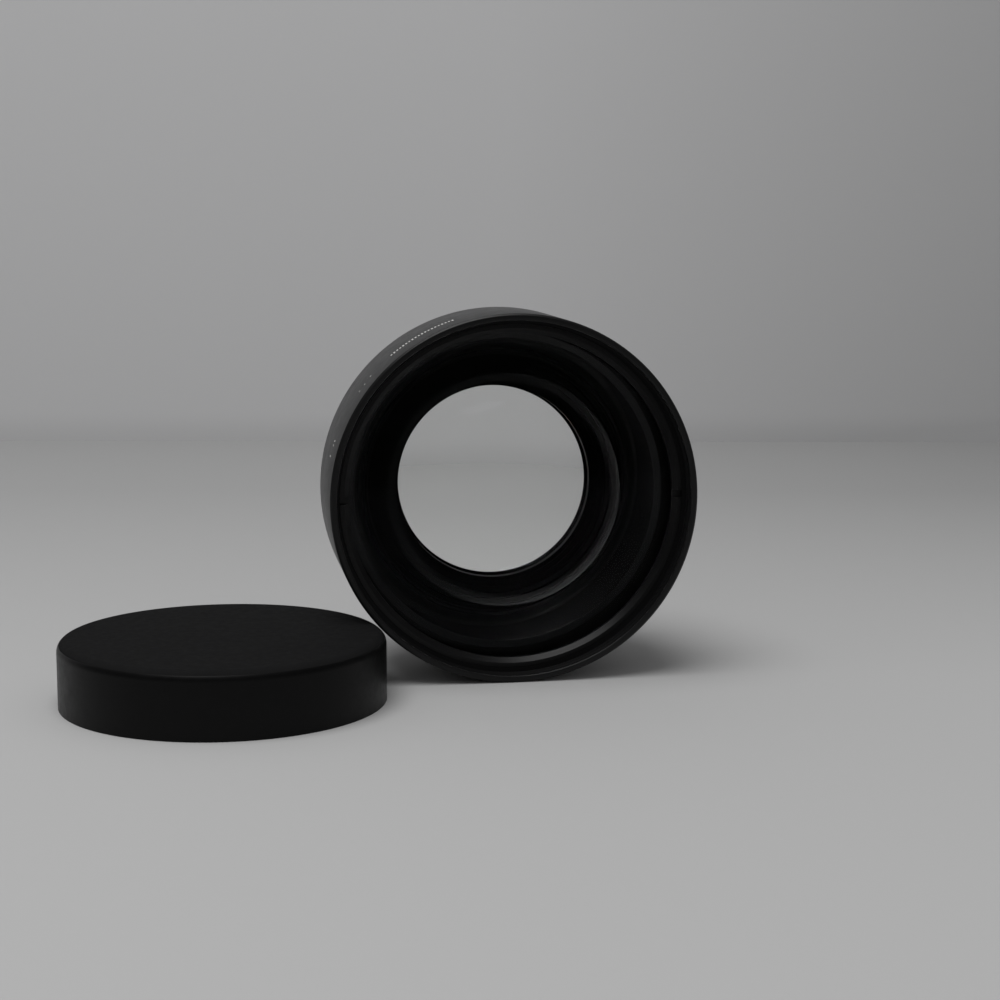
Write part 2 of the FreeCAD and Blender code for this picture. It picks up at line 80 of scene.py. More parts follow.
REAR_GLASS_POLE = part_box("rear_crown_lens")[0].y
TAIL_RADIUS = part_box("mount_ring")[1].z
MOUNT_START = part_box("mount_ring")[0].y
MOUNT_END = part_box("mount_ring")[1].y
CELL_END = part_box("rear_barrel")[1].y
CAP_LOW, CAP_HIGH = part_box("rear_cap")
CAP_CENTRE = (CAP_LOW + CAP_HIGH) / 2
CAP_RADIUS = (CAP_HIGH.x - CAP_LOW.x) / 2
TABLE = CAP_LOW.z

OPTICAL = (0, 1, 0)
UPRIGHT = (0, 0, 1)
ROUND_STEPS = 180
THREAD_STEPS = 120
SMOOTH_BELOW = math.radians(30)
ROOT_OVERLAP = 0.02 * MM
QUARTER_TURN = math.pi / 2


class BarrelSettings(bpy.types.PropertyGroup):
    """Finish and thread of the two barrels and the mount ring."""

    anodised: FloatVectorProperty(
        name="Anodised", description="Colour of the anodised outside", subtype="COLOR",
        default=(0.006, 0.006, 0.0062), min=0, max=1)
    blackened: FloatVectorProperty(
        name="Blackened", description="Colour of the matt black inside", subtype="COLOR",
        default=(0.005, 0.005, 0.0052), min=0, max=1)
    flocked: FloatVectorProperty(
        name="Flocked", description="Colour of the dull black tube behind the front lens",
        subtype="COLOR", default=(0.005, 0.005, 0.0052), min=0, max=1)
    marks: FloatVectorProperty(
        name="Marks", description="Colour of the tick marks behind the rim", subtype="COLOR",
        default=(0.6, 0.6, 0.58), min=0, max=1)
    # The lip's lighter colour is partly wear and partly a painted highlight on its edge.
    rubbed_lip_highlight: FloatVectorProperty(
        name="Rubbed edge", description="Colour where the stepped tube's lip is rubbed bare",
        subtype="COLOR", default=(0.018, 0.018, 0.0186), min=0, max=1)
    thread_pitch: FloatProperty(
        name="Thread pitch", description="Distance from one turn of a thread to the next",
        default=0.75 * MM, unit="LENGTH")
    thread_depth: FloatProperty(
        name="Thread depth", description="Height of a thread from root to crest",
        default=0.42 * MM, unit="LENGTH")
    edge_break: FloatProperty(
        name="Broken edge", description="Width of the tiny bevel on turned edges",
        default=0.12 * MM, unit="LENGTH")


class GlassSettings(bpy.types.PropertyGroup):
    """Curves and refraction of the three lenses."""

    front_outer_curve: FloatProperty(
        name="Front outer curve", description="Radius of the front lens's outer face",
        default=190.0 * MM, unit="LENGTH")
    front_inner_curve: FloatProperty(
        name="Front hollow curve", description="Radius of the front lens's hollow",
        default=49.4 * MM, unit="LENGTH")
    front_thickness: FloatProperty(
        name="Front thickness", description="Thickness of the front lens on the axis",
        default=3.0 * MM, unit="LENGTH")
    crown_curve: FloatProperty(
        name="Crown curve", description="Radius of the rear pair's front face",
        default=84.6 * MM, unit="LENGTH")
    cement_curve: FloatProperty(
        name="Cement curve", description="Radius where the rear pair is cemented",
        default=120.0 * MM, unit="LENGTH")
    flint_thickness: FloatProperty(
        name="Flint thickness", description="Thickness of the flint lens on the axis",
        default=1.8 * MM, unit="LENGTH")
    cement_gap: FloatProperty(
        name="Cement gap", description="Thickness of the cement between the rear pair",
        default=0.02 * MM, unit="LENGTH")
    front_index: FloatProperty(
        name="Front index", description="Refraction of the front lens", default=1.5168)
    crown_index: FloatProperty(
        name="Crown index", description="Refraction of the crown lens", default=1.62)
    flint_index: FloatProperty(
        name="Flint index", description="Refraction of the flint lens", default=1.72)
    coating: FloatVectorProperty(
        name="Coating", description="Tint of what the coated faces reflect", subtype="COLOR",
        default=(0.06, 0.062, 0.068), min=0, max=1)


class CapSettings(bpy.types.PropertyGroup):
    """Shape and colour of the moulded rear cap."""

    plastic: FloatVectorProperty(
        name="Plastic", description="Colour of the cap", subtype="COLOR",
        default=(0.0025, 0.0025, 0.0026), min=0, max=1)
    # The top's lighter colour is partly the grain and partly painted light falling from above.
    grained: FloatVectorProperty(
        name="Grained plastic", description="Colour of the cap's grained top", subtype="COLOR",
        default=(0.0095, 0.0095, 0.0097), min=0, max=1)
    wall: FloatProperty(
        name="Wall", description="Thickness of the cap's side", default=1.2 * MM, unit="LENGTH")
    top: FloatProperty(
        name="Top", description="Thickness of the cap's top", default=1.4 * MM, unit="LENGTH")
    edge_radius: FloatProperty(
        name="Edge radius", description="Rounding of the cap's upper edge",
        default=2.2 * MM, unit="LENGTH")
    corner: FloatProperty(
        name="Corner", description="Chamfer inside, where the side meets the top", default=0.6 * MM,
        unit="LENGTH")
    lip_chamfer: FloatProperty(
        name="Lip chamfer", description="Lead-in at the cap's open end", default=0.5 * MM, unit="LENGTH")


class StageSettings(bpy.types.PropertyGroup):
    """Table, wall, lamp and camera."""

    table_colour: FloatVectorProperty(
        name="Table", description="Colour of the table top", subtype="COLOR",
        default=(0.418, 0.418, 0.418), min=0, max=1)
    wall_colour: FloatVectorProperty(
        name="Wall", description="Colour of the wall behind", subtype="COLOR",
        default=(0.535, 0.535, 0.54), min=0, max=1)
    room_light: FloatProperty(
        name="Room light", description="Strength of the soft light from all round", default=0.4)
    room_mirrored: FloatProperty(
        name="Room mirrored", description="How bright the dim room looks in glossy faces", default=0.06)
    lens_turn: FloatProperty(
        name="Turn", description="How far the converter faces away from the camera, seen from above",
        default=math.radians(9.41), subtype="ANGLE")
    tilt: FloatProperty(
        name="Tilt", description="How far the camera looks down",
        default=math.radians(8.465), subtype="ANGLE")
    roll: FloatProperty(
        name="Roll", description="How far the camera leans", default=math.radians(0.09), subtype="ANGLE")
    focal_length: FloatProperty(
        name="Focal length", description="Focal length on a 36 mm sensor, in millimetres", default=72.0)
    camera_ahead: FloatProperty(
        name="Camera ahead", description="Distance from the camera to the rim, along the table",
        default=423.84 * MM, unit="LENGTH")
    camera_aside: FloatProperty(
        name="Camera aside", description="How far left of the rim's centre the camera stands",
        default=3.6 * MM, unit="LENGTH")
    camera_above: FloatProperty(
        name="Camera above", description="Height of the camera over the optical axis",
        default=63.2 * MM, unit="LENGTH")
    wall_behind: FloatProperty(
        name="Wall behind", description="Distance from the rim to the wall",
        default=444.0 * MM, unit="LENGTH")
    table_ahead: FloatProperty(
        name="Table ahead", description="Distance from the rim to the table's front edge",
        default=361.0 * MM, unit="LENGTH")
    lamp_power: FloatProperty(
        name="Lamp", description="Power of the wide lamp high on the left in front, in watts",
        default=12.2)


def start_fresh(name):
    """One lone vertex at the origin, in edit mode, ready to be drawn on."""
    bpy.ops.object.select_all(action="DESELECT")
    bpy.ops.mesh.primitive_plane_add(size=MM)
    piece = bpy.context.object
    piece.name = name
    piece.data.name = name
    bpy.ops.object.mode_set(mode="EDIT")
    bpy.ops.mesh.merge(type="CENTER")
    return piece


def draw_outline(points, closed):
    """Draw on from the lone vertex through the points."""
    bpy.ops.transform.translate(value=points[0])
    for before, point in zip(points, points[1:]):
        bpy.ops.mesh.extrude_vertices_move(TRANSFORM_OT_translate={"value": point - before})
    bpy.ops.mesh.select_all(action="SELECT")
    if closed:
        mesh = bmesh.from_edit_mesh(bpy.context.object.data)
        for vertex in mesh.verts:
            vertex.select_set(len(vertex.link_edges) == 1)
        mesh.select_flush(False)
        bpy.ops.mesh.edge_face_add()
        bpy.ops.mesh.select_all(action="SELECT")


def turned(name, corners, centre=(0, 0, 0), axis=OPTICAL, closed=True, bevel=0.0):
    """A solid of revolution. Each corner is (along the axis, out from it), in metres; the solid
    is closed by joining the last corner to the first, or by its two ends lying on the axis."""
    outward = Vector((1, 0, 0))
    along = Vector(axis)
    points = [Vector(centre) + along * place + outward * radius for place, radius in corners]
    piece = start_fresh(name)
    draw_outline(points, closed)
    bpy.ops.mesh.spin(steps=ROUND_STEPS, angle=2 * math.pi, center=centre, axis=axis)
    bpy.ops.mesh.select_all(action="SELECT")
    bpy.ops.mesh.remove_doubles(threshold=0.001 * MM)
    bpy.ops.mesh.normals_make_consistent(inside=False)
    bpy.ops.object.mode_set(mode="OBJECT")
    place_origin(piece)
    if bevel:
        break_edges(piece, bevel)
    bpy.ops.object.shade_smooth_by_angle(angle=SMOOTH_BELOW)
    return piece


def place_origin(piece):
    """Leave the piece where it is, with its own zero at the frame's."""
    bpy.ops.object.select_all(action="DESELECT")
    piece.select_set(True)
    bpy.context.view_layer.objects.active = piece
    bpy.ops.object.transform_apply(location=True, rotation=True, scale=True)


def break_edges(piece, width):
    """Round every sharp edge a little, as a turned edge is."""
    bevel = piece.modifiers.new("edges", "BEVEL")
    bevel.width = width
    bevel.segments = 2
    bevel.limit_method = "ANGLE"
    bevel.angle_limit = math.radians(35)
    bpy.ops.object.modifier_apply(modifier=bevel.name)


def arc(curve, pole, out_to, rings=40, inward=False):
    """Points of a spherical face from its pole out to a radius. A positive curve bulges to the
    front, a negative one to the rear."""
    points = []
    for ring in range(rings + 1):
        radius = out_to * math.sin(ring / rings * QUARTER_TURN)
        fall = abs(curve) - math.sqrt(curve**2 - radius**2)
        points.append((pole + math.copysign(fall, curve), radius))
    return points[::-1] if inward else points


def helix(name, root, crest, start, end, pitch):
    """A thread's ridge: one small triangle carried round a screw line."""
    piece = start_fresh(name)
    half_foot = pitch * 0.42
    corners = [
        Vector((root, start, 0)),
        Vector((crest, start + half_foot, 0)),
        Vector((root, start + 2 * half_foot, 0)),
    ]
    draw_outline(corners, closed=True)
    bpy.ops.mesh.edge_face_add()
    bpy.ops.object.mode_set(mode="OBJECT")
    place_origin(piece)
    screw = piece.modifiers.new("thread", "SCREW")
    screw.axis = "Y"
    screw.screw_offset = pitch
    screw.iterations = int((end - start - 2 * half_foot) / pitch)
    screw.steps = screw.render_steps = THREAD_STEPS
    screw.use_merge_vertices = False
    bpy.ops.object.modifier_apply(modifier=screw.name)
    bpy.ops.object.mode_set(mode="EDIT")
    bpy.ops.mesh.select_all(action="SELECT")
    bpy.ops.mesh.normals_make_consistent(inside=False)
    bpy.ops.object.mode_set(mode="OBJECT")
    bpy.ops.object.shade_smooth_by_angle(angle=SMOOTH_BELOW)
    return piece


def join(into, *others):
    """Make one piece of several; it keeps the first one's name."""
    bpy.ops.object.select_all(action="DESELECT")
    for piece in (into, *others):
        piece.select_set(True)
    bpy.context.view_layer.objects.active = into
    bpy.ops.object.join()
    return into


def finish_piece(piece, material, slot, *nodes):
    """Give a new piece its material and say which body carries it and which nodes it stands for."""
    piece.data.materials.clear()
    piece.data.materials.append(material)
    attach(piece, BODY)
    if nodes:
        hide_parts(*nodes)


def coat_faces(piece, material, chosen):
    """Give the faces that are chosen a second material."""
    piece.data.materials.append(material)
    for face in piece.data.polygons:
        if chosen(face):
            face.material_index = len(piece.data.materials) - 1


def finish_node(name, material):
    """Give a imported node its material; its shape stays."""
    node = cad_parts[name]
    for slot in node.material_slots:
        slot.link = "DATA"
        slot.material = material


def new_material(name):
    """A new material, its node tree and its shader."""
    material = bpy.data.materials.new(name)
    material.use_nodes = True
    tree = material.node_tree
    return material, tree, tree.nodes["Principled BSDF"]


def add_node(tree, kind, **settings):
    """Add a node and set its properties and plain inputs by name."""
    node = tree.nodes.new(kind)
    for name, value in settings.items():
        if hasattr(node, name):
            setattr(node, name, value)
        else:
            node.inputs[name].default_value = value
    return node


def noise(tree, scale, stretch=(1, 1, 1)):
    """Noise on the piece's own coordinates, scale in features per metre."""
    place = add_node(tree, "ShaderNodeTexCoord")
    mapping = add_node(tree, "ShaderNodeMapping")
    mapping.inputs["Scale"].default_value = stretch
    tree.links.new(place.outputs["Object"], mapping.inputs["Vector"])
    texture = add_node(tree, "ShaderNodeTexNoise", Scale=scale, Detail=3.0)
    tree.links.new(mapping.outputs["Vector"], texture.inputs["Vector"])
    return texture.outputs["Fac"]


def spread(tree, value, low, high, start=0.3, end=0.7):
    """Map noise to a range of values."""
    node = add_node(tree, "ShaderNodeMapRange")
    tree.links.new(value, node.inputs["Value"])
    for name, number in (("From Min", start), ("From Max", end), ("To Min", low), ("To Max", high)):
        node.inputs[name].default_value = number
    return node.outputs["Result"]


def blend_colour(tree, factor, first, second):
    """Go from one colour to another as the factor rises from 0 to 1."""
    node = add_node(tree, "ShaderNodeMix", data_type="RGBA")
    tree.links.new(factor, node.inputs["Factor"])
    node.inputs["A"].default_value = (*first, 1)
    node.inputs["B"].default_value = (*second, 1)
    return node.outputs["Result"]


def bump(tree, shader, height, distance, strength):
    """Give the shader fine relief from a height."""
    node = add_node(tree, "ShaderNodeBump", Strength=strength, Distance=distance)
    tree.links.new(height, node.inputs["Height"])
    tree.links.new(node.outputs["Normal"], shader.inputs["Normal"])


def scaled(colour, factor):
    """The colour, darker or lighter by a factor."""
    return tuple(channel * factor for channel in colour)


def off_axis(tree):
    """Distance from the optical axis, in metres."""
    place = add_node(tree, "ShaderNodeTexCoord")
    flat = add_node(tree, "ShaderNodeVectorMath", operation="MULTIPLY")
    flat.inputs[1].default_value = (1, 0, 1)
    length = add_node(tree, "ShaderNodeVectorMath", operation="LENGTH")
    tree.links.new(place.outputs["Object"], flat.inputs[0])
    tree.links.new(flat.outputs["Vector"], length.inputs[0])
    return length.outputs["Value"]


def anodised_metal(settings):
    """Satin black anodising over a blasted surface."""
    material, tree, shader = new_material("satin_anodised")
    shader.inputs["Specular IOR Level"].default_value = 0.22
    cloud = noise(tree, 90)
    colour = blend_colour(tree, cloud, scaled(settings.anodised, 0.85), scaled(settings.anodised, 1.15))
    tree.links.new(colour, shader.inputs["Base Color"])
    tree.links.new(spread(tree, noise(tree, 400), 0.34, 0.4), shader.inputs["Roughness"])
    bump(tree, shader, noise(tree, 4500), 0.02 * MM, 0.5)
    return material


def turned_black(colour, name, specular, roughness):
    """Black with faint marks of turning, as satin or as dull as asked."""
    material, tree, shader = new_material(name)
    shader.inputs["Specular IOR Level"].default_value = specular
    turning = noise(tree, 60, stretch=(1, 60, 1))
    shade = blend_colour(tree, turning, scaled(colour, 0.7), scaled(colour, 1.3))
    tree.links.new(shade, shader.inputs["Base Color"])
    tree.links.new(spread(tree, turning, roughness * 0.9, roughness * 1.1), shader.inputs["Roughness"])
    bump(tree, shader, turning, 0.02 * MM, 0.4)
    return material


def tube_black(settings):
    """Dull black flocking, with the lip painted lighter: partly worn bare, partly a painted highlight."""
    material = turned_black(settings.flocked, "tube_black", 0.0, 0.6)
    tree = material.node_tree
    shader = tree.nodes["Principled BSDF"]
    inside = shader.inputs["Base Color"].links[0].from_socket
    # painted highlight: the lip is given a lighter colour, partly for wear and partly for the light its
    # edge catches
    lip_highlight_from = TUBE_LIP - 0.35 * MM
    edge = spread(tree, off_axis(tree), 0.0, 1.0, lip_highlight_from, lip_highlight_from + 0.1 * MM)
    node = add_node(tree, "ShaderNodeMix", data_type="RGBA")
    tree.links.new(edge, node.inputs["Factor"])
    tree.links.new(inside, node.inputs["A"])
    node.inputs["B"].default_value = (*settings.rubbed_lip_highlight, 1)
    tree.links.new(node.outputs["Result"], shader.inputs["Base Color"])
    return material


def print_paint(settings):
    """The barrel's off-white printing, a little uneven."""
    material, tree, shader = new_material("print_paint")
    colour = blend_colour(tree, noise(tree, 900), scaled(settings.marks, 0.75), settings.marks)
    tree.links.new(colour, shader.inputs["Base Color"])
    shader.inputs["Roughness"].default_value = 0.6
    return material


def rubber():
    """Dull black rubber for the seal."""
    material, tree, shader = new_material("seal_rubber")
    colour = blend_colour(tree, noise(tree, 600), (0.004, 0.004, 0.004), (0.007, 0.007, 0.007))
    tree.links.new(colour, shader.inputs["Base Color"])
    shader.inputs["Specular IOR Level"].default_value = 0.05
    shader.inputs["Roughness"].default_value = 0.85
    bump(tree, shader, noise(tree, 3000), 0.02 * MM, 0.6)
    return material


def moulded_plastic(name, plain, specular, roughness):
    """Finely grained black moulding, as satin or as matt as asked."""
    material, tree, shader = new_material(name)
    shader.inputs["Specular IOR Level"].default_value = specular
    cloud = noise(tree, 120)
    colour = blend_colour(tree, cloud, scaled(plain, 0.9), scaled(plain, 1.1))
    tree.links.new(colour, shader.inputs["Base Color"])
    sheen = spread(tree, noise(tree, 700), roughness * 0.9, roughness * 1.1)
    tree.links.new(sheen, shader.inputs["Roughness"])
    bump(tree, shader, noise(tree, 6000), 0.03 * MM, 0.5)
    return material


def oxide_steel():
    """Steel with a dark oxide skin for the set screws."""
    material, tree, shader = new_material("oxide_steel")
    shader.inputs["Metallic"].default_value = 1.0
    colour = blend_colour(tree, noise(tree, 1500), (0.03, 0.03, 0.032), (0.06, 0.06, 0.062))
    tree.links.new(colour, shader.inputs["Base Color"])
    shader.inputs["Roughness"].default_value = 0.4
    return material


def lens_glass(name, index, coating):
    """Clear polished glass; the coating tints and weakens what its faces reflect."""
    material, tree, shader = new_material(name)
    shader.inputs["Transmission Weight"].default_value = 1.0
    shader.inputs["Roughness"].default_value = 0.0
    shader.inputs["IOR"].default_value = index
    shader.inputs["Specular Tint"].default_value = (*coating, 1)
    film = blend_colour(tree, noise(tree, 40), (0.985, 0.99, 0.985), (1.0, 1.0, 1.0))
    tree.links.new(film, shader.inputs["Base Color"])
    return material


def stage_with_painted_shade(name, colour, dim, across, away, least=0.0, crease=None):
    """Matt and pale, with painted shade: dimmer away from the camera and more so on the right,
    and a painted shadow just above the crease. Across and away are where the painted dimming starts and
    ends, least its part on the left."""
    material, tree, shader = new_material(name)
    shader.inputs["Roughness"].default_value = 0.85
    shader.inputs["Specular IOR Level"].default_value = 0.1
    parts = add_node(tree, "ShaderNodeSeparateXYZ")
    tree.links.new(add_node(tree, "ShaderNodeTexCoord").outputs["Object"], parts.inputs["Vector"])
    # painted shade: the colour dims towards the right and away from the camera, as the light falls off
    corner = add_node(tree, "ShaderNodeMath", operation="MULTIPLY")
    tree.links.new(spread(tree, parts.outputs["X"], least, 1, *across), corner.inputs[0])
    tree.links.new(spread(tree, parts.outputs["Y"], 0, 1, *away), corner.inputs[1])
    factor = corner.outputs["Value"]
    # painted shadow: a dark band just above the crease, where the wall meets the table
    if crease is not None:
        shadow_band, darkest_shadow = 0.014, 0.4
        crease_shadow = add_node(tree, "ShaderNodeMapRange", interpolation_type="SMOOTHSTEP")
        tree.links.new(parts.outputs["Y"], crease_shadow.inputs["Value"])
        ends = (("From Min", crease), ("From Max", crease + shadow_band), ("To Min", darkest_shadow), ("To Max", 0))
        for label, number in ends:
            crease_shadow.inputs[label].default_value = number
        both = add_node(tree, "ShaderNodeMath", operation="ADD")
        tree.links.new(factor, both.inputs[0])
        tree.links.new(crease_shadow.outputs["Result"], both.inputs[1])
        factor = both.outputs["Value"]
    tree.links.new(blend_colour(tree, factor, colour, scaled(colour, dim)), shader.inputs["Base Color"])
    return material


class CONVERTER_OT_front_barrel(bpy.types.Operator):
    """Turn the front barrel with a real thread in its mouth, and finish it"""

    bl_idname = "converter.front_barrel"
    bl_label = "Front Barrel"

    def execute(self, context):
        settings = context.scene.converter_barrel
        crest = RETAINER_RADIUS + 0.5 * MM
        root = crest + settings.thread_depth
        thread_start = RIM + 0.5 * MM
        thread_end = GLASS_POLE - 0.1 * MM
        lead_in = 0.6 * MM
        mouth = crest + lead_in
        groove_end = RETAINER_FACE - 0.02 * MM
        runout = RETAINER_BACK + 0.5 * MM
        bore = GLASS_RADIUS + 0.1 * MM
        seat_bore = GLASS_RADIUS - 4.4 * MM
        seat_chamfer = 0.5 * MM
        rim_chamfer = 0.4 * MM
        heel = BARREL_END - 2.6 * MM
        heel_chamfer = 0.6 * MM
        collar = BARREL_RADIUS - 1.8 * MM
        corners = [
            (RIM, mouth),
            (RIM, BARREL_RADIUS - rim_chamfer),
            (RIM + rim_chamfer, BARREL_RADIUS),
            (heel - heel_chamfer, BARREL_RADIUS),
            (heel, BARREL_RADIUS - heel_chamfer),
            (heel, collar),
            (BARREL_END, collar),
            (BARREL_END, SOCKET_RADIUS),
            (TUBE_START, SOCKET_RADIUS),
            (TUBE_START, seat_bore),
            (SEAT + seat_chamfer, seat_bore),
            (SEAT, seat_bore + seat_chamfer),
            (SEAT, bore),
            (runout, bore),
            (runout, RETAINER_RADIUS),
            (groove_end, RETAINER_RADIUS),
            (groove_end, mouth),
            (thread_end, mouth),
            (thread_end, root),
            (RIM + (mouth - root), root),
        ]
        barrel = turned("front_barrel_shell", corners, bevel=settings.edge_break)
        thread = helix("filter_thread", root + ROOT_OVERLAP, crest, thread_start, thread_end,
                       settings.thread_pitch)
        join(barrel, thread)
        finish_piece(barrel, anodised_metal(settings), "black_anodised", "front_barrel")

        def in_mouth(face):
            """Tell whether a face lies inside the mouth, past its lead-in."""
            from_axis = Vector((face.center.x, face.center.z)).length
            return from_axis < crest + 0.5 * MM and RIM + lead_in < face.center.y < runout

        coat_faces(barrel, turned_black(settings.blackened, "mouth_black", 0.05, 0.5), in_mouth)
        return {"FINISHED"}


class CONVERTER_OT_marks(bpy.types.Operator):
    """Print the short white marks behind the rim, on the barrel's upper left"""

    bl_idname = "converter.marks"
    bl_label = "Marks"

    def execute(self, context):
        settings = context.scene.converter_barrel
        # each mark's angle up from the right, place behind the rim and length, in degrees and millimetres
        row = [(108.0 + 1.15 * count, 10.4, (1.9, 1.3, 1.6)[count % 3]) for count in range(20)]
        dots = [(139.0, 10.1, 0.6), (142.1, 9.2, 0.6), (144.8, 9.4, 0.7)]
        low = [(162.0, 9.9, 1.2), (163.4, 9.9, 0.9), (167.0, 10.8, 1.4)]
        thick, wide, sunk = 0.05, 0.4, 0.01 * MM
        bpy.ops.object.select_all(action="DESELECT")
        bpy.ops.mesh.primitive_cube_add(size=MM)
        first = context.object
        bpy.ops.object.mode_set(mode="EDIT")
        bpy.ops.transform.resize(value=(thick, 1, wide))
        bpy.ops.mesh.bevel(offset=0.012 * MM, segments=1)
        bpy.ops.object.mode_set(mode="OBJECT")
        bars = []
        for angle, behind, length in row + dots + low:
            bar = first.copy()
            bar.data = first.data.copy()
            context.collection.objects.link(bar)
            place = Matrix.Translation((BARREL_RADIUS - sunk, RIM + behind * MM, 0))
            turn = Matrix.Rotation(-math.radians(angle), 4, "Y")
            bar.data.transform(turn @ place @ Matrix.Diagonal((1, length, 1, 1)))
            bars.append(bar)
        bpy.data.objects.remove(first)
        marks = join(*bars)
        marks.name = marks.data.name = "barrel_marks"
        finish_piece(marks, print_paint(settings), "black_anodised")
        return {"FINISHED"}


class CONVERTER_OT_inside(bpy.types.Operator):
    """Finish the retaining rings, the stepped tube, the stop and the seal"""

    bl_idname = "converter.inside"
    bl_label = "Inside"

    def execute(self, context):
        settings = context.scene.converter_barrel
        satin = turned_black(settings.blackened, "ring_black", 0.18, 0.36)
        finish_node("front_retaining_ring", satin)
        finish_node("rear_retaining_ring", satin)
        finish_node("baffle_tube", tube_black(settings))
        finish_node("aperture_stop", turned_black(settings.blackened, "stop_black", 0.0, 0.6))
        finish_node("front_lens_seal", rubber())
        finish_node("rear_lens_shim", moulded_plastic("shim_black", settings.blackened, 0.1, 0.7))
        return {"FINISHED"}


class CONVERTER_OT_glass(bpy.types.Operator):
    """Grind the front lens and the cemented rear pair"""

    bl_idname = "converter.glass"
    bl_label = "Glass"

    def execute(self, context):
        settings = context.scene.converter_glass
        land = GLASS_BACK - 0.1 * MM
        hollow_pole = GLASS_POLE + settings.front_thickness
        curve = settings.front_inner_curve
        hollow = math.sqrt(curve**2 - (curve - (land - hollow_pole)) ** 2)
        front = turned(
            "front_glass",
            arc(settings.front_outer_curve, GLASS_POLE, GLASS_RADIUS)
            + [(land, GLASS_RADIUS)]
            + arc(curve, hollow_pole, hollow, rings=60, inward=True),
            closed=False)
        crown_end = REAR_GLASS_END - settings.flint_thickness - settings.cement_gap
        crown = turned(
            "crown_glass",
            arc(settings.crown_curve, REAR_GLASS_POLE, REAR_GLASS_RADIUS)
            + arc(-settings.cement_curve, crown_end, REAR_GLASS_RADIUS, inward=True),
            closed=False)
        flint = turned(
            "flint_glass",
            arc(-settings.cement_curve, crown_end + settings.cement_gap, REAR_GLASS_RADIUS)
            + [(REAR_GLASS_END, REAR_GLASS_RADIUS), (REAR_GLASS_END, 0)],
            closed=False)
        lenses = (
            (front, settings.front_index, "front_lens"),
            (crown, settings.crown_index, "rear_crown_lens"),
            (flint, settings.flint_index, "rear_flint_lens"),
        )
        for piece, index, node in lenses:
            finish_piece(piece, lens_glass(piece.name, index, settings.coating), "coated_glass", node)
        return {"FINISHED"}


class CONVERTER_OT_rear(bpy.types.Operator):
    """Turn the mount ring with its thread, and finish the rear barrel and the set screws"""

    bl_idname = "converter.rear"
    bl_label = "Rear"

    def execute(self, context):
        settings = context.scene.converter_barrel
        finish = bpy.data.materials["satin_anodised"]
        crest = TAIL_RADIUS - 1.75 * MM
        root = crest - settings.thread_depth
        bore = crest - 1.55 * MM
        counterbore = TAIL_RADIUS - 2.0 * MM
        inner_face = CELL_END + 0.1 * MM
        thread_start = 0.4 * MM
        corners = [
            (MOUNT_START, counterbore),
            (MOUNT_START, TAIL_RADIUS),
            (0, TAIL_RADIUS),
            (0, root),
            (MOUNT_END, root),
            (MOUNT_END, bore),
            (inner_face, bore),
            (inner_face, counterbore),
        ]
        ring = turned("mount_ring_shell", corners, bevel=settings.edge_break)
        thread = helix("mount_thread", root - ROOT_OVERLAP, crest, thread_start, MOUNT_END,
                       settings.thread_pitch)
        join(ring, thread)
        finish_piece(ring, finish, "black_anodised", "mount_ring")
        finish_node("rear_barrel", finish)
        steel = oxide_steel()
        for place in ("barrel", "mount"):
            for count in (1, 2, 3):
                finish_node(f"{place}_screw_{count}", steel)
        return {"FINISHED"}


class CONVERTER_OT_cap(bpy.types.Operator):
    """Mould the rear cap with its rounded edge"""

    bl_idname = "converter.cap"
    bl_label = "Rear Cap"

    def execute(self, context):
        settings = context.scene.converter_cap
        height = CAP_HIGH.z - CAP_LOW.z
        bore = CAP_RADIUS - settings.wall
        ceiling = height - settings.top
        edge = settings.edge_radius
        corners = [
            (ceiling, 0),
            (ceiling, bore - settings.corner),
            (ceiling - settings.corner, bore),
            (settings.lip_chamfer, bore),
            (0, bore + settings.lip_chamfer),
            (0, CAP_RADIUS),
        ]
        edge_steps = 12
        for step in range(edge_steps + 1):
            turn = step / edge_steps * QUARTER_TURN
            rise, reach = edge * math.sin(turn), edge * math.cos(turn)
            corners.append((height - edge + rise, CAP_RADIUS - edge + reach))
        corners.append((height, 0))
        centre = (CAP_CENTRE.x, CAP_CENTRE.y, TABLE)
        cap = turned("cap_moulding", corners, centre=centre, axis=UPRIGHT, closed=False)
        side = moulded_plastic("cap_side", settings.plastic, 0.15, 0.4)
        finish_piece(cap, side, "black_plastic", "rear_cap")
        # the upward faces get a lighter, matt copy of the plastic: partly its grain, partly painted light
        # on the top
        lit_top_grain = moulded_plastic("cap_grain_lit_top", settings.grained, 0.02, 0.8)
        coat_faces(cap, lit_top_grain, lambda face: face.normal.z > 0.6)
        return {"FINISHED"}


